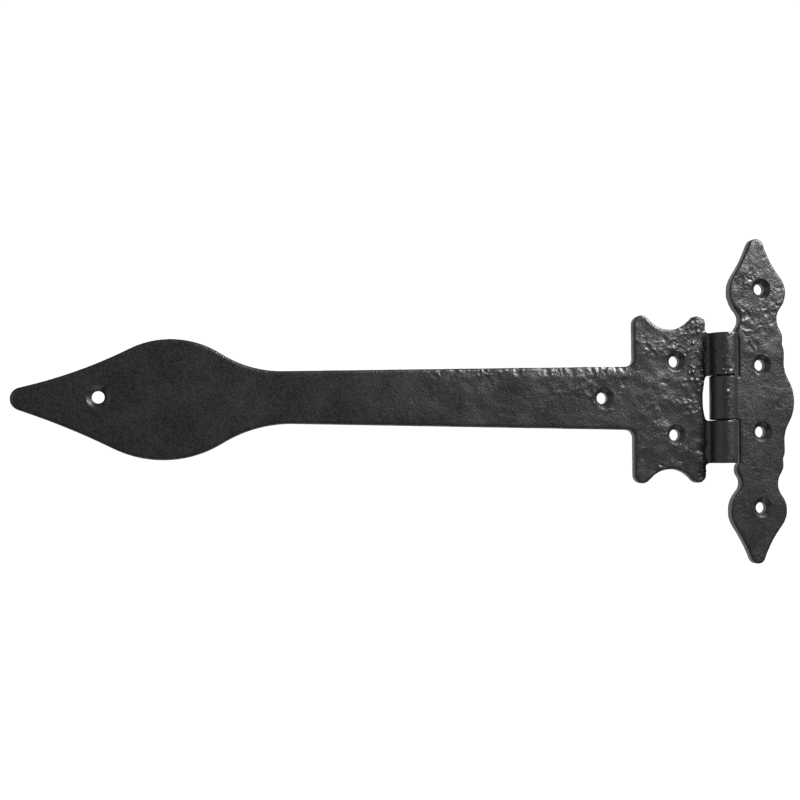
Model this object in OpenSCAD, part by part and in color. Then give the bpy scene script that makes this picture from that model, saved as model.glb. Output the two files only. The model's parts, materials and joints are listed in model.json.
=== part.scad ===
// Tee hinge for a gate or ledged door: a long spear-ended strap leaf and an upright
// leaf for the frame, cast in iron, joined by one steel pin through three knuckles.
// Frame: the pin runs along Z, the spear points along -X, the front faces -Y.
// The origin is on the flat back of the leaves, level with the pin and half way up it.

/* [Strap leaf] */
// Distance from the pin to the point of the spear
strap_reach = 272.6; // [210:0.2:420]
// Thickness of both leaves
plate_t = 4; // [3:0.1:5]
// Half width of the strap at the neck behind the spear
neck_half = 9.8; // [8:0.1:13]
// Half width of the strap where it meets the star plate
strap_half = 12.5; // [10:0.1:16]
// Radius of the blunt point
point_r = 4.2; // [3:0.1:6]
// How far the point hangs below the middle line
point_drop = 0.7; // [0:0.1:1.5]

/* [Spear, upper side] */
// Half width of the spear above the middle line
upper_half = 21.2; // [17:0.1:26]
// Distance from the point to the widest place
upper_belly = 56.5; // [48:0.5:66]
// Radius of the belly
upper_belly_r = 33; // [26:0.5:42]
// Radius of the shallow hollow between point and belly
upper_hollow_r = 168; // [120:1:400]
// Radius of the hollow between belly and neck
upper_neck_r = 41; // [30:0.5:60]

/* [Spear, lower side] */
// Half width of the spear below the middle line
lower_half = 22.9; // [17:0.1:26]
// Distance from the point to the widest place
lower_belly = 53.5; // [48:0.5:66]
// Radius of the belly
lower_belly_r = 40; // [30:0.5:48]
// Radius of the shallow hollow between point and belly
lower_hollow_r = 248; // [120:1:400]
// Radius of the hollow between belly and neck
lower_neck_r = 49; // [30:0.5:60]

/* [Star plate] */
// Distance from the pin to the far edge of the star plate
star_far = 37; // [30:0.1:50]
// Gap between the round of the knuckles and the near edge of the star plate
star_gap = 1; // [0.8:0.1:2]
// Height of the upper lobes above the pin's middle
star_up = 32.8; // [30:0.1:45]
// Depth of the lower lobes below the pin's middle
star_down = 33.8; // [30:0.1:45]
// Radius of the four lobes
star_lobe_r = 3.4; // [2:0.1:5]
// Depth of the scoop between two lobes
scoop_depth = 5.6; // [3:0.1:9]
// Radius of the inside corner between strap and star plate
corner_r = 3; // [1:0.1:4]
// Depth of the curve of the slot in front of the middle knuckle
slot_depth = 1.2; // [0.8:0.1:2]

/* [Frame leaf] */
// Full height of the frame leaf
frame_h = 131.4; // [116:0.2:180]
// Gap between the round of the knuckles and the straight edge of the frame leaf
frame_gap = 2.4; // [1.8:0.1:4]
// Distance from the pin to the middle line of the points
frame_mid = 16; // [15:0.1:18]
// Radius of the points
frame_point_r = 3.1; // [2.4:0.1:4]
// Radius of the shallow hollow between a point and its lobe
frame_hollow_r = 43; // [25:0.5:60]
// Distance from the end of the leaf to the middle of its end lobe
lobe_drop = 21.5; // [18:0.1:26]
// Distance from the pin to the outer side of the end lobes
lobe_far = 28.9; // [27:0.1:34]
// Distance from the pin to the inner side of the end lobes
lobe_near = 4.1; // [2:0.1:6]
// Radius of the end lobes on their outer side
lobe_far_r = 9.6; // [8:0.1:11]
// Radius of the end lobes on their inner side
lobe_near_r = 11.4; // [10:0.1:13]
// Distance from the pin to the crown of the beads below an end lobe
bead_far = 27.5; // [26:0.1:29]
// Distance from the pin to the crown of the side bulge
bulge_far = 32.5; // [31:0.1:36]
// Radius of the side bulge
bulge_r = 16.5; // [14:0.1:20]
// How far the outline sits below the middle of the pin and the screw holes
casting_drop = 1.2; // [0:0.1:2]

/* [Knuckles and pin] */
// Outside diameter of the knuckles
barrel_d = 11; // [10:0.1:14]
// Length of the three knuckles together
barrel_len = 52; // [44:0.5:60]
// Length of the middle knuckle, on the frame leaf
middle_len = 17.4; // [12:0.1:24]
// Gap between one knuckle and the next
knuckle_gap = 0.25; // [0.15:0.05:0.6]
// Diameter of the pin
pin_d = 5; // [4:0.1:6]
// Running clearance around the pin, on the radius
pin_clear = 0.05; // [0.02:0.01:0.1]
// Metal between the flat back and the round of a knuckle
back_skin = 0.2; // [0.1:0.05:0.5]
// Radius of the soft corner between plate and knuckle
web_r = 2.5; // [1.5:0.1:4]

/* [Screw holes] */
// Diameter of the screw holes
hole_d = 4.5; // [3.5:0.1:5.5]
// Diameter of the countersink at the front face
sink_d = 8; // [6.5:0.1:10]
// Distance from the point of the spear to its hole
spear_hole = 30.4; // [24:0.1:60]
// Distance from the star plate to the hole in the strap
strap_hole = 13; // [9:0.1:60]
// Distance from the pin to the two holes in the star plate
star_hole_x = 19.4; // [15:0.1:30]
// Height between the two holes in the star plate
star_hole_gap = 29.2; // [20:0.1:44]
// Distance from the pin to the four holes in the frame leaf
frame_hole_x = 17.9; // [16:0.1:24]
// Height between the inner two holes in the frame leaf
inner_hole_gap = 27; // [20:0.1:36]

/* [Hidden] */
$fn = 96;
barrel_r = barrel_d / 2;
pin_y = -barrel_r - back_skin;
outer_start = middle_len / 2 + knuckle_gap;
lobe_z = frame_h / 2 - lobe_drop;
facet = 2;
bow = 12;
iron = [0.13, 0.13, 0.14];
steel = [0.24, 0.24, 0.25];

// Direction of an angle, and angle of a direction
function toward(a) = [cos(a), sin(a)];
function bearing(v) = atan2(v[1], v[0]);

// The same angle, brought just below or just above a first one
function below(a, first) = first - (((first - a) % 360) + 360) % 360;
function above(a, first) = first + (((a - first) % 360) + 360) % 360;

// Points of an arc between two angles, ends included
function arc(c, r, a0, a1) =
    let (turn = abs(a1 - a0), n = max(2, ceil(turn / bow), ceil(turn * r * PI / 180 / facet)))
    [for (i = [0 : n]) c + r * toward(a0 + (a1 - a0) * i / n)];

// Centre of a scoop that touches two rounds from outside
function scoop(a, ra, b, rb) =
    let (v = b - a, d = norm(v), u = v / d, m = (d * d + ra * ra - rb * rb) / (2 * d))
    a + u * m + [-u[1], u[0]] * sqrt(ra * ra - m * m);

// Radius of a hollow between two rounds: the least that reaches both, and some spare
function hollow_r(a, b, spare) = (norm(at(b) - at(a)) - a[2] - b[2]) / 2 + spare;

// Smooth edge over a row of rounds [x, z, radius], with a scoop between each pair,
// followed clockwise from one angle on the first round to another on the last.
function at(r) = [r[0], r[1]];
function scoops(rounds, radii) =
    [for (i = [0 : len(radii) - 1])
        scoop(at(rounds[i]), rounds[i][2] + radii[i],
              at(rounds[i + 1]), rounds[i + 1][2] + radii[i])];
function edge(rounds, radii, first, last) =
    let (hollow = scoops(rounds, radii), n = len(rounds) - 1)
    [for (i = [0 : n])
        let (c = at(rounds[i]),
             a0 = i == 0 ? first : bearing(hollow[i - 1] - c),
             a1 = i == n ? last : bearing(hollow[i] - c))
        each concat(
            arc(c, rounds[i][2], a0, below(a1, a0)),
            i == n ? [] : hollow_arc(hollow[i], radii[i], c, at(rounds[i + 1])))];
function hollow_arc(c, r, from, to) =
    let (a0 = bearing(from - c), a1 = above(bearing(to - c), a0), all = arc(c, r, a0, a1))
    [for (i = [1 : len(all) - 2]) all[i]];

function flip_x(p) = [-p[0], p[1]];
function flip_z(p) = [p[0], -p[1]];
function reversed(list) = [for (i = [len(list) - 1 : -1 : 0]) list[i]];

// One side of the strap leaf, from the point to the middle of the slot, seen with
// that side up. The spear is a blunt point, a shallow hollow, a belly and a hollow
// that runs into the straight taper of the strap.
tip_x = -strap_reach;
star_near = barrel_r + star_gap;
slot_r = (outer_start * outer_start + slot_depth * slot_depth) / (2 * slot_depth);
slot_a = asin(outer_start / slot_r);
slot_edge = arc([-star_near - slot_depth + slot_r, 0], slot_r, 180 - slot_a, 180);
function strap_side(point_z, half, belly, belly_r, hollow_r, neck_r, star_top) =
    let (rounds = [
             [tip_x + point_r, point_z, point_r],
             [tip_x + belly, half - belly_r, belly_r]
         ],
         lift = neck_half + neck_r - half + belly_r,
         neck = [
             tip_x + belly + sqrt(pow(belly_r + neck_r, 2) - lift * lift),
             neck_half + neck_r
         ],
         leave = bearing(neck - at(rounds[1])),
         lobes = [
             [-star_far + star_lobe_r, star_top - star_lobe_r, star_lobe_r],
             [-star_near - star_lobe_r, star_top - star_lobe_r, star_lobe_r]
         ],
         m = (lobes[1][0] - lobes[0][0]) / 2,
         scoop_r = (m * m + scoop_depth * scoop_depth - 2 * scoop_depth * star_lobe_r)
             / (2 * scoop_depth))
    concat(
        edge(rounds, [hollow_r], 180, leave),
        arc(neck, neck_r, leave - 180, -90),
        arc([-star_far - corner_r, strap_half + corner_r], corner_r, -90, 0),
        edge(lobes, [scoop_r], 180, 0),
        [[-star_near, outer_start]],
        slot_edge
    );
upper_side = strap_side(-point_drop, upper_half, upper_belly, upper_belly_r,
                        upper_hollow_r, upper_neck_r, star_up);
lower_side = strap_side(point_drop, lower_half, lower_belly, lower_belly_r,
                        lower_hollow_r, lower_neck_r, star_down);
strap_outline = concat(
    upper_side,
    reversed([for (i = [1 : len(lower_side) - 2]) flip_z(lower_side[i])])
);

// Edges of the frame leaf, from the upper point to half way down each side: point,
// end lobe, two beads and the bulge outside, and one bead beside the barrel's end inside
frame_top = frame_h / 2;
frame_near = barrel_r + frame_gap;
barrel_end = barrel_len / 2;
bead_r = 6;
bead_below_end = 0.4;
low_bead_r = 8.6;
low_bead_below_end = 6.7;
low_bead_proud = 0.7;
inner_bead_r = 3.8;
inner_bead_above_end = 1.5;
inner_bead_proud = 1.1;
nick_r = 1;
neck_spare = 5.7;
inner_neck_spare = 3.4;
waist_spare = 17;
inner_hollow_ratio = 1.6;
bead = [bead_far - bead_r, barrel_end - bead_below_end, bead_r];
low_bead = [bead_far + low_bead_proud - low_bead_r, barrel_end - low_bead_below_end, low_bead_r];
inner_bead = [
    inner_bead_proud - frame_near - inner_bead_r,
    barrel_end + inner_bead_above_end,
    inner_bead_r
];
top_point = [frame_mid, frame_top - frame_point_r, frame_point_r];
inner_point = [-frame_mid, frame_top - frame_point_r, frame_point_r];
far_lobe = [lobe_far - lobe_far_r, lobe_z, lobe_far_r];
near_lobe = [-lobe_near - lobe_near_r, lobe_z, lobe_near_r];
bulge = [bulge_far - bulge_r, 0, bulge_r];
outer_edge = edge(
    [top_point, far_lobe, bead, low_bead, bulge],
    [
        frame_hollow_r,
        hollow_r(far_lobe, bead, neck_spare),
        nick_r,
        hollow_r(low_bead, bulge, waist_spare)
    ],
    90, 0);
inner_flipped = edge(
    [inner_point, near_lobe, inner_bead],
    [frame_hollow_r * inner_hollow_ratio, hollow_r(near_lobe, inner_bead, inner_neck_spare)],
    90, -45);
inner_edge = [for (p = inner_flipped) flip_x(p)];
upper_edges = concat(reversed(inner_edge), outer_edge);
frame_outline = [
    for (p = concat(upper_edges, reversed([for (p = upper_edges) flip_z(p)])))
        p - [0, casting_drop]
];

// Flat casting standing up, with its back at Y = 0 and its front to -Y
module casting(outline) {
    rotate([90, 0, 0])
        linear_extrude(plate_t)
            polygon(outline);
}

// One knuckle: a round barrel with its end edges broken
module knuckle(z0, z1) {
    c = 0.4;
    translate([0, pin_y, 0])
        rotate_extrude()
            polygon([
                [0, z0],
                [barrel_r - c, z0],
                [barrel_r, z0 + c],
                [barrel_r, z1 - c],
                [barrel_r - c, z1],
                [0, z1]
            ]);
}

// Metal that carries a knuckle into its plate, on the -X side: flat at the back,
// with a soft corner at the front
module web(z0, z1) {
    rise = -pin_y - plate_t;
    reach = sqrt(pow(barrel_r + web_r, 2) - pow(rise - web_r, 2));
    inner = [-reach, -plate_t - web_r];
    lean = bearing([0, pin_y] - inner);
    deep = inner + (web_r + barrel_r * 0.25) * toward(lean);
    pad = barrel_r * 0.27;
    translate([0, 0, z0])
        linear_extrude(z1 - z0)
            polygon(concat(
                [[-reach - 0.6, 0], [-reach - 0.6, -plate_t]],
                [for (i = [0 : 7]) inner + web_r * toward(90 + (lean - 90) * i / 8)],
                [deep, [pad, pin_y], [pad, 0]]
            ));
}

// Screw hole through a leaf, with its countersink at the front
module screw_hole(x, z) {
    sink = (sink_d - hole_d) / 2;
    translate([x, 0, z])
        rotate([90, 0, 0]) {
            translate([0, 0, -1])
                cylinder(d = hole_d, h = plate_t + 2);
            translate([0, 0, plate_t - sink])
                cylinder(d1 = hole_d, d2 = sink_d + 2, h = sink + 1);
        }
}

// Bore for the pin
module bore(radius, half) {
    translate([0, pin_y, -half])
        cylinder(r = radius, h = 2 * half);
}

// Leaf for the frame, with the middle knuckle
module frame_leaf() {
    color(iron)
        difference() {
            union() {
                casting(frame_outline);
                knuckle(-middle_len / 2, middle_len / 2);
                mirror([1, 0, 0])
                    web(-middle_len / 2, middle_len / 2);
            }
            bore(pin_d / 2 + pin_clear, middle_len / 2 + 1);
            for (z = [inner_hole_gap / 2, lobe_z], side = [-1, 1])
                screw_hole(frame_hole_x, side * z);
        }
}

// Strap leaf: spear, strap, star plate and the two outer knuckles
module strap_leaf() {
    color(iron)
        difference() {
            union() {
                casting(strap_outline);
                for (side = [0, 1])
                    mirror([0, 0, side]) {
                        knuckle(outer_start, barrel_len / 2);
                        web(outer_start, barrel_len / 2);
                    }
            }
            bore(pin_d / 2, barrel_len / 2 + 1);
            screw_hole(tip_x + spear_hole, 0);
            screw_hole(-star_far - strap_hole, 0);
            for (side = [-1, 1])
                screw_hole(-star_hole_x, side * star_hole_gap / 2);
        }
}

// Pin: plain steel, flush with the outer knuckles, end edges broken
module hinge_pin() {
    c = 0.4;
    half = barrel_len / 2 - 0.1;
    color(steel)
        translate([0, pin_y, 0])
            rotate_extrude()
                polygon([
                    [0, -half],
                    [pin_d / 2 - c, -half],
                    [pin_d / 2, c - half],
                    [pin_d / 2, half - c],
                    [pin_d / 2 - c, half],
                    [0, half]
                ]);
}

frame_leaf();
strap_leaf();
hinge_pin();
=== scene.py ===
"""Looks of a cast iron tee hinge: two black powder-coated castings and a steel pin."""
import json
import math

import bmesh
import bpy
from mathutils import Matrix, Vector, noise


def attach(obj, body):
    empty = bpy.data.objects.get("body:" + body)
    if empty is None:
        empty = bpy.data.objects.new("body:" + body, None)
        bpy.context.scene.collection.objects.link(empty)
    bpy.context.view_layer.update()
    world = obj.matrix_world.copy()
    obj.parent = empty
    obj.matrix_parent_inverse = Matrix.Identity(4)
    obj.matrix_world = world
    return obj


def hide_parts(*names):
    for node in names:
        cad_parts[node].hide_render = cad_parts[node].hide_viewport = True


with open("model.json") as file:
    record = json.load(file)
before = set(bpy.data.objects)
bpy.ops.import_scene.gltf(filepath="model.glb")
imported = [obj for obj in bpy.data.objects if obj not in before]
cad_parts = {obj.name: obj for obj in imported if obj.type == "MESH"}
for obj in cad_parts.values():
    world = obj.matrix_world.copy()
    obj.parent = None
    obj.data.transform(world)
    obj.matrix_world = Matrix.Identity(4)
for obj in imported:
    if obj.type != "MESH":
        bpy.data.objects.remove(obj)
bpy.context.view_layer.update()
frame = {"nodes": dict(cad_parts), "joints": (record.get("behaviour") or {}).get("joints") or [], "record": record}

MM = 0.001
PIN = Vector(frame["joints"][0]["pos_m"])
MOUNTS = {m["name"]: m for m in frame["record"]["mounts"]}

# Sizes that the castings keep from the CAD model
HOLE_R = MOUNTS["star_screws"]["dims"]["hole_r_mm"] * MM
SINK_R = 4.0 * MM
PLATE_FRONT = -4.0 * MM
KNUCKLE_R = 5.5 * MM
PRESSED_BORE_R = 2.5 * MM
RUNNING_BORE_R = 2.55 * MM

# Width of the worn rim of a countersink
RIM_WORN = 0.24 * MM
# Slack around a hole or bore when its wall is looked for
WALL_SLACK = 0.02 * MM
# Points closer than this are one
SAME_POINT = 1e-6

# Marks in the cast skin, in millimetres across
LUMP = 7.0
SMALL_LUMP = 3.2
HOLLOW = 3.8
SMALL_HOLLOW = 1.6
GRIT = 0.9
NODULE_GAP = 4.5
SPATTER_GAP = 2.4
ROUGH_PATCH = 8.0
WARP = 2.6
STROKE_WIDTH = 2.0
STROKE_LENGTH = 9.0
# Centre of the nub of iron on the middle knuckle, in millimetres
KNUCKLE_NUB = Vector((-1.2, -11.1, 2.2))
# Shares of the skin's height that the sides, the back and the knuckles keep
SIDE_SKIN = 0.35
BACK_SKIN = 0.8
KNUCKLE_SKIN = 0.7
# Moves a noise to an unrelated part of its pattern
ELSEWHERE = Vector((31.7, 12.9, 54.3))

FLOOR_Z = -160 * MM


# ---------------------------------------------------------------- small tools

def srgb(hex_colour):
    """Linear RGBA from an sRGB hex value."""
    parts = [int(hex_colour[i:i + 2], 16) / 255 for i in (1, 3, 5)]
    return [p / 12.92 if p <= 0.04045 else ((p + 0.055) / 1.055) ** 2.4 for p in parts] + [1.0]


def smooth_step(value, low, high):
    """0 up to low, 1 from high, and a smooth rise between them."""
    t = min(max((value - low) / (high - low), 0.0), 1.0)
    return t * t * (3 - 2 * t)


def from_bmesh(bm, name):
    """A new object in the scene that takes over the bmesh."""
    mesh = bpy.data.meshes.new(name)
    bm.to_mesh(mesh)
    bm.free()
    obj = bpy.data.objects.new(name, mesh)
    bpy.context.scene.collection.objects.link(obj)
    return obj


def bake_modifiers(obj):
    """Replaces the mesh with what its modifiers make of it."""
    depsgraph = bpy.context.evaluated_depsgraph_get()
    mesh = bpy.data.meshes.new_from_object(obj.evaluated_get(depsgraph))
    old = obj.data
    obj.modifiers.clear()
    obj.data = mesh
    bpy.data.meshes.remove(old)


def holes_of(*mount_names):
    """Centres of the screw holes of two-hole rows, as the record states them."""
    centres = []
    for name in mount_names:
        mount = MOUNTS[name]
        dims = mount["dims"]
        half_x = dims.get("spacing_x_mm", 0) * MM / 2
        half_z = dims.get("spacing_y_mm", 0) * MM / 2
        x, _, z = mount["pos_m"]
        centres += [(x - half_x, z - half_z), (x + half_x, z + half_z)]
    return centres


# ---------------------------------------------------------------- castings

def plug(bm, near_axis):
    """Takes out the wall of a hole and closes its two mouths."""
    wall = [f for f in bm.faces if all(near_axis(v.co) for v in f.verts)]
    bmesh.ops.delete(bm, geom=wall, context="FACES")
    rims = [e for e in bm.edges if e.is_boundary]
    bmesh.ops.holes_fill(bm, edges=rims, sides=0)


def hole_cutter(centres):
    """Drill and 90 degree countersink for each hole, as one tool that stands proud of both faces."""
    bm = bmesh.new()
    proud = 1.0 * MM
    profile = [
        (0.0, proud),
        (HOLE_R, proud),
        (HOLE_R, PLATE_FRONT + SINK_R - HOLE_R),
        (SINK_R - RIM_WORN, PLATE_FRONT + RIM_WORN),
        (SINK_R + RIM_WORN, PLATE_FRONT),
        (SINK_R + proud, PLATE_FRONT - proud),
        (0.0, PLATE_FRONT - proud),
    ]
    for x, z in centres:
        verts = [bm.verts.new((x + r, y, z)) for r, y in profile]
        edges = [bm.edges.new(pair) for pair in zip(verts, verts[1:])]
        bmesh.ops.spin(
            bm, geom=verts + edges, cent=(x, 0, z), axis=(0, 1, 0),
            angle=math.tau, steps=56, use_merge=True)
    bmesh.ops.remove_doubles(bm, verts=bm.verts, dist=SAME_POINT)
    bmesh.ops.recalc_face_normals(bm, faces=bm.faces)
    return from_bmesh(bm, "drill")


def bore_cutter(radius):
    """Reamer for the pin's bore, longer than the three knuckles."""
    bm = bmesh.new()
    bmesh.ops.create_cone(
        bm, cap_ends=True, segments=64, radius1=radius, radius2=radius, depth=60 * MM,
        matrix=Matrix.Translation(PIN))
    return from_bmesh(bm, "bore")


def cut(obj, *tools):
    """Cuts the tools out of the object and clears them away."""
    for tool in tools:
        mod = obj.modifiers.new("cut", "BOOLEAN")
        mod.operation = "DIFFERENCE"
        mod.solver = "MANIFOLD"
        mod.object = tool
    bake_modifiers(obj)
    for tool in tools:
        bpy.data.objects.remove(tool)


def pin_distance(p):
    """Distance of a point from the pin's axis."""
    return math.hypot(p.x - PIN.x, p.y - PIN.y)


def hammer_marks(q, size):
    """Hollows about size millimetres across, 0 on the ridges between them and 1 inside."""
    near, second = noise.voronoi(q / size)[0][:2]
    return smooth_step(second - near, 0.0, 0.55)


def grains_of_iron(q, core, rim):
    """Scattered grains, 1 on top of each and 0 between them, with their radii as shares of the gap."""
    near = noise.voronoi(q)[0][0]
    return 1 - smooth_step(near, core, rim)


def skin_height(p, coarse, fine, strokes):
    """Height of the cast skin over the plain surface at a point, all in millimetres. The large
    marks go by coarse, the small ones by fine, and the chisel's depth by strokes, each 0 for none."""
    warp = Vector([noise.noise(p / WARP + ELSEWHERE * k) for k in (0, 1, 2)])
    q = p + 1.7 * warp
    patch = smooth_step(noise.noise(p / ROUGH_PATCH - ELSEWHERE), -0.25, 0.4)
    lumps = noise.noise(p / LUMP) + 0.6 * noise.noise(p / SMALL_LUMP + ELSEWHERE)
    hollows = 0.5 - hammer_marks(q, HOLLOW)
    small_hollows = 0.5 - hammer_marks(q + ELSEWHERE, SMALL_HOLLOW)
    nodules = grains_of_iron((p + 0.8 * warp) / NODULE_GAP + ELSEWHERE, 0.05, 0.22)
    spatter = grains_of_iron((p + 0.5 * warp) / SPATTER_GAP - ELSEWHERE, 0.10, 0.32)
    stroke = noise.noise(Vector((q.x / STROKE_WIDTH, 0, p.z / STROKE_LENGTH)))

    height = coarse * (0.24 * lumps + 0.30 * hollows * patch)
    height += fine * (0.12 * small_hollows * patch + 0.03 * noise.noise(q / GRIT))
    height += 0.20 * fine * nodules
    # Spatter shows only where the skin is at its roughest
    height += 0.22 * max(fine - 0.9, 0.0) * spatter
    return height - strokes * (0.20 + 0.36 * smooth_step(stroke, -0.2, 0.4))


def knuckle_height(v, height, nub):
    """Height on a knuckle, in millimetres: its ends stay flat, so that it keeps its gap to the next
    one, and its round is brought back to the true radius under the skin."""
    out = Vector((v.co.x - PIN.x, v.co.y - PIN.y, 0))
    facing = max(v.normal.dot(out.normalized()), 0.0)
    on_round = smooth_step(facing, 0.6, 0.95)
    on_round *= 1 - smooth_step(out.length, KNUCKLE_R * 1.02, KNUCKLE_R * 1.08)
    return (KNUCKLE_SKIN * height + nub) * facing + on_round * (KNUCKLE_R - out.length) / MM


def cast_skin(obj, skin_at):
    """Hammered hollows, lumps and grains of a rough casting, raised or sunk along the normals."""
    moved = []
    for v in obj.data.vertices:
        p = v.co / MM
        n = v.normal
        coarse, fine, strokes, nub = skin_at(p)
        front = smooth_step(-n.y, 0.2, 0.8)
        height = skin_height(p, coarse, fine, strokes * front)
        height *= SIDE_SKIN + (1 - SIDE_SKIN) * front
        faces_back = n.y > 0.6
        off_the_back = abs(p.y) > 0.3
        if faces_back:
            height *= BACK_SKIN
        elif off_the_back and pin_distance(v.co) < KNUCKLE_R * 1.12:
            height = knuckle_height(v, height, nub)
        moved.append(v.co + n * height * MM)
    obj.data.vertices.foreach_set("co", [c for co in moved for c in co])
    obj.data.update()


def undrilled(leaf, name, holes, bore_r):
    """A copy of a leaf's CAD node as it was before drilling and reaming."""
    bm = bmesh.new()
    bm.from_mesh(frame["nodes"][leaf].data)
    bmesh.ops.remove_doubles(bm, verts=bm.verts, dist=SAME_POINT)
    for x, z in holes:
        plug(bm, lambda co: math.hypot(co.x - x, co.z - z) < SINK_R + WALL_SLACK)
    plug(bm, lambda co: pin_distance(co) < bore_r + WALL_SLACK)
    bmesh.ops.triangulate(bm, faces=bm.faces)
    return from_bmesh(bm, name)


def fine_mesh(obj, voxel):
    """Even quads all over, fine enough to carry the skin."""
    remesh = obj.modifiers.new("skin", "REMESH")
    remesh.mode = "VOXEL"
    remesh.voxel_size = voxel
    bake_modifiers(obj)


def soften_edges(obj, passes):
    """Rounds the plates' edges and the web beside the knuckles, and hardly the knuckles."""
    plate = obj.vertex_groups.new(name="plate")
    for v in obj.data.vertices:
        away = smooth_step(pin_distance(v.co), KNUCKLE_R * 1.02, KNUCKLE_R * 1.45)
        plate.add([v.index], 0.10 + 0.90 * away, "REPLACE")
    soften = obj.modifiers.new("soften", "SMOOTH")
    soften.factor = 0.5
    soften.iterations = passes
    soften.vertex_group = "plate"
    bake_modifiers(obj)


def casting(leaf, name, voxel, rounding, holes, bore_r, skin_at):
    """A rough casting made from a leaf's CAD node: soft edges, a dented skin, then drilled."""
    obj = undrilled(leaf, name, holes, bore_r)
    fine_mesh(obj, voxel)
    soften_edges(obj, rounding)
    cast_skin(obj, skin_at)
    cut(obj, hole_cutter(holes), bore_cutter(bore_r))
    obj.data.shade_smooth()
    obj.data.set_sharp_from_angle(angle=math.radians(38))
    return obj


# Each skin function gives the coarse, fine and stroke amounts and the nub's height at a point
# in millimetres

def strap_skin(p):
    """Nearly smooth spear, rougher towards the star plate and its knuckle side, and
    chisel strokes along the strap's upper edge."""
    along = smooth_step(p.x, -185, -45)
    upper = smooth_step(p.z, -8, 8)
    star = smooth_step(p.x, -44, -32)
    knuckle_side = smooth_step(p.x, -26, -12)
    coarse = 0.05 + along * (0.30 + 0.55 * upper) * (1 - star) + 0.90 * star
    fine = coarse * (0.7 + 2.2 * knuckle_side * upper)
    upper_edge = 12.5 + 0.0175 * (p.x + 40)
    strokes = smooth_step(p.z - upper_edge, -4.5, 0) * smooth_step(p.x, -150, -60) * (1 - star)
    return coarse, fine, strokes, 0.0


def frame_skin(p):
    """Rough at the upper point and lobe, calmer from the middle downwards, with a nub of
    iron left standing on the middle knuckle."""
    coarse = 0.26 + 0.42 * smooth_step(p.z, 0, 30)
    nub = 0.4 * (1 - smooth_step((p - KNUCKLE_NUB).length, 0.2, 1.3))
    return coarse, 0.45 * coarse, 0.0, nub


strap_casting = casting(
    "strap_leaf", "strap_leaf_casting", 0.46 * MM, 12,
    holes_of("strap_screws", "star_screws"), PRESSED_BORE_R, strap_skin)
frame_casting = casting(
    "frame_leaf", "frame_leaf_casting", 0.34 * MM, 14,
    holes_of("frame_inner_screws", "frame_outer_screws"), RUNNING_BORE_R, frame_skin)


# ---------------------------------------------------------------- materials

def node(tree, kind, settings=None, links=None):
    """Adds a node with its settings, and its inputs linked or given a value."""
    made = tree.nodes.new(kind)
    for key, value in (settings or {}).items():
        setattr(made, key, value)
    for key, value in (links or {}).items():
        if isinstance(value, bpy.types.NodeSocket):
            tree.links.new(value, made.inputs[key])
        else:
            made.inputs[key].default_value = value
    return made


def new_material(name):
    """An empty material, with its tree, its shader and the object's own coordinates."""
    material = bpy.data.materials.new(name)
    material.use_nodes = True
    tree = material.node_tree
    shader = tree.nodes["Principled BSDF"]
    place = node(tree, "ShaderNodeTexCoord").outputs["Object"]
    return material, tree, shader, place


def powder_coated_cast_iron(name, from_x, to_x, from_pits_and_painted_light, to_pits_and_painted_light):
    """Cast iron under a thin black epoxy powder coat: dark, satin, with a fine baked-on grain
    that is drawn a little coarser than the real 0.3 mm so that it shows, and with shinier
    patches where the coat flowed together. Along x the pits' bump changes strength from one end
    to the other, and the colour is painted lighter where the bump is stronger: painted light for
    the brighter lighting near the barrel."""
    material, tree, shader, place = new_material(name)
    grain = node(tree, "ShaderNodeTexNoise", {}, {
        "Vector": place, "Scale": 1 / (0.75 * MM), "Detail": 2.0, "Roughness": 0.7})
    pits = node(tree, "ShaderNodeTexVoronoi", {"feature": "SMOOTH_F1"}, {
        "Vector": place, "Scale": 1 / (1.1 * MM), "Smoothness": 0.4})
    blotch = node(tree, "ShaderNodeTexNoise", {}, {
        "Vector": place, "Scale": 1 / (11 * MM), "Detail": 4.0, "Roughness": 0.55})
    gloss = node(tree, "ShaderNodeMapRange", {}, {
        "Value": blotch.outputs["Fac"], "From Min": 0.3, "From Max": 0.7,
        "To Min": 0.27, "To Max": 0.43})
    along = node(tree, "ShaderNodeSeparateXYZ", {}, {"Vector": place}).outputs["X"]
    # The pits' bump strength along x. The same value also paints the colour lighter towards the barrel, as painted
    # light
    pits_and_painted_light = node(tree, "ShaderNodeMapRange", {}, {
        "Value": along, "From Min": from_x * MM, "From Max": to_x * MM,
        "To Min": from_pits_and_painted_light, "To Max": to_pits_and_painted_light})
    tone = node(tree, "ShaderNodeMapRange", {}, {
        "Value": grain.outputs["Fac"], "From Min": 0.36, "From Max": 0.64})
    # Painted light: the colour is painted lighter towards the barrel, where the lighting is brighter. The grain's
    # tone is real
    grain_and_painted_light = node(tree, "ShaderNodeMath", {"operation": "MULTIPLY_ADD"}, {
        0: pits_and_painted_light.outputs["Result"], 1: 1.8, 2: tone.outputs["Result"]})
    colour = node(tree, "ShaderNodeMix", {"data_type": "RGBA"}, {"Factor": grain_and_painted_light.outputs["Value"]})
    colour.inputs["A"].default_value = srgb("#131314")
    colour.inputs["B"].default_value = srgb("#2a2a2b")
    pitted = node(tree, "ShaderNodeBump", {}, {
        "Height": pits.outputs["Distance"], "Strength": pits_and_painted_light.outputs["Result"],
        "Distance": 0.25 * MM})
    grained = node(tree, "ShaderNodeBump", {}, {
        "Height": grain.outputs["Fac"], "Strength": 0.6, "Distance": 0.20 * MM,
        "Normal": pitted.outputs["Normal"]})
    tree.links.new(colour.outputs["Result"], shader.inputs["Base Color"])
    tree.links.new(gloss.outputs["Result"], shader.inputs["Roughness"])
    tree.links.new(grained.outputs["Normal"], shader.inputs["Normal"])
    shader.inputs["IOR"].default_value = 1.5
    return material


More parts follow.
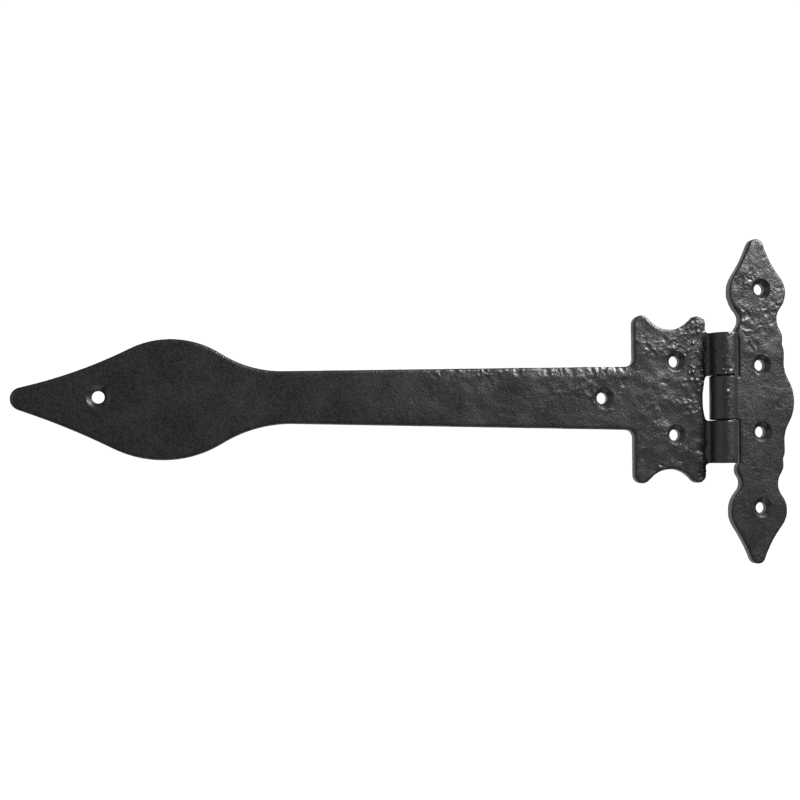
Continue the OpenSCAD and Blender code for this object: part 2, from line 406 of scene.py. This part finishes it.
def blackened_steel():
    """Turned steel rod, blackened: dark grey metal with faint rings left by the lathe."""
    material, tree, shader, place = new_material("blackened_steel")
    rings = node(tree, "ShaderNodeTexNoise", {}, {
        "Vector": place, "Scale": 1 / (0.5 * MM), "Detail": 2.0})
    gloss = node(tree, "ShaderNodeMapRange", {}, {
        "Value": rings.outputs["Fac"], "To Min": 0.35, "To Max": 0.5})
    tree.links.new(gloss.outputs["Result"], shader.inputs["Roughness"])
    shader.inputs["Base Color"].default_value = srgb("#4a4a4c")
    shader.inputs["Metallic"].default_value = 1.0
    return material


def light_table():
    """Opal white sheet lit from below, with a slight cloudiness."""
    material, tree, shader, place = new_material("light_table")
    cloud = node(tree, "ShaderNodeTexNoise", {}, {"Vector": place, "Scale": 1 / (40 * MM)})
    tone = node(tree, "ShaderNodeMix", {"data_type": "RGBA"}, {"Factor": cloud.outputs["Fac"]})
    tone.inputs["A"].default_value = srgb("#fafafa")
    tone.inputs["B"].default_value = srgb("#ffffff")
    tree.links.new(tone.outputs["Result"], shader.inputs["Base Color"])
    tree.links.new(tone.outputs["Result"], shader.inputs["Emission Color"])
    shader.inputs["Emission Strength"].default_value = 1.0
    shader.inputs["Roughness"].default_value = 0.9
    return material


# The strap leaf's coat gets rougher from the neck to the star plate, and the frame leaf's is a little
# rougher beside the knuckles than at its far edge. Where rougher, both are also painted lighter, as
# painted light for the brighter lighting near the barrel
strap_iron = powder_coated_cast_iron("powder_coated_strap_iron", -185, -25, 0.03, 0.18)
frame_iron = powder_coated_cast_iron("powder_coated_frame_iron", 8, 30, 0.12, 0.08)
for piece, leaf, iron in (
        (strap_casting, "strap_leaf", strap_iron), (frame_casting, "frame_leaf", frame_iron)):
    piece.data.materials.clear()
    piece.data.materials.append(iron)
    # A leaf's CAD node and its body share one name
    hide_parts(leaf)
    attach(piece, leaf)

pin_node = frame["nodes"]["hinge_pin"]
pin_steel = blackened_steel()
for slot in pin_node.material_slots:
    slot.material = pin_steel


# ---------------------------------------------------------------- stage, light and camera

def floor():
    """Wide pale table well below the hinge."""
    bm = bmesh.new()
    bmesh.ops.create_grid(bm, x_segments=2, y_segments=2, size=8.0)
    bmesh.ops.translate(bm, verts=bm.verts, vec=(0, 0, FLOOR_Z))
    obj = from_bmesh(bm, "floor")
    obj.data.materials.append(light_table())
    obj.visible_diffuse = False
    obj.visible_glossy = False


def area_light(name, place, aim, size, power):
    """Soft box at a place, turned to what it aims at, in metres and watts."""
    data = bpy.data.lights.new(name, "AREA")
    data.shape = "RECTANGLE"
    data.size, data.size_y = size
    data.energy = power
    lamp = bpy.data.objects.new(name, data)
    lamp.location = place
    lamp.rotation_euler = (Vector(aim) - Vector(place)).to_track_quat("-Z", "Y").to_euler()
    bpy.context.scene.collection.objects.link(lamp)


def camera():
    """In front of the spear and turned a little to the hinge's other end."""
    data = bpy.data.cameras.new("camera")
    data.lens = 53.3
    data.shift_y = 0.0788
    cam = bpy.data.objects.new("camera", data)
    turn = Matrix.Rotation(math.radians(-12.10), 4, "Z")
    level = Matrix.Rotation(math.radians(90), 4, "X")
    roll = Matrix.Rotation(math.radians(-0.56), 4, "Z")
    cam.matrix_world = Matrix.Translation((-0.2256, -0.4410, -0.0247)) @ turn @ level @ roll
    bpy.context.scene.collection.objects.link(cam)
    bpy.context.scene.camera = cam


def studio_world():
    """White to the camera, dim to the hinge, so that only the lamps and the table light it."""
    world = bpy.data.worlds.new("studio")
    world.use_nodes = True
    tree = world.node_tree
    sky = tree.nodes["Background"]
    seen = node(tree, "ShaderNodeLightPath").outputs["Is Camera Ray"]
    level = node(tree, "ShaderNodeMapRange", {}, {"Value": seen, "To Min": 0.07, "To Max": 1.05})
    tree.links.new(level.outputs["Result"], sky.inputs["Strength"])
    sky.inputs["Color"].default_value = (1, 1, 1, 1)
    bpy.context.scene.world = world


floor()
studio_world()
area_light("key", (0.62, -0.66, 0.62), (0.0, 0, 0.01), (0.34, 0.34), 26)
area_light("fill", (-1.05, -0.70, 0.15), (-0.05, 0, 0), (1.6, 1.0), 1.6)
area_light("under", (-0.12, -0.05, -0.75), (-0.12, 0, 0), (1.0, 0.5), 3.6)
area_light("side", (-1.1, -0.28, 0.0), (-0.05, 0, 0), (1.8, 1.4), 3.4)
area_light("behind", (-0.12, 0.75, 0), (-0.12, 0, 0), (2.0, 1.4), 9)
bpy.context.scene.view_settings.view_transform = "Standard"
camera()
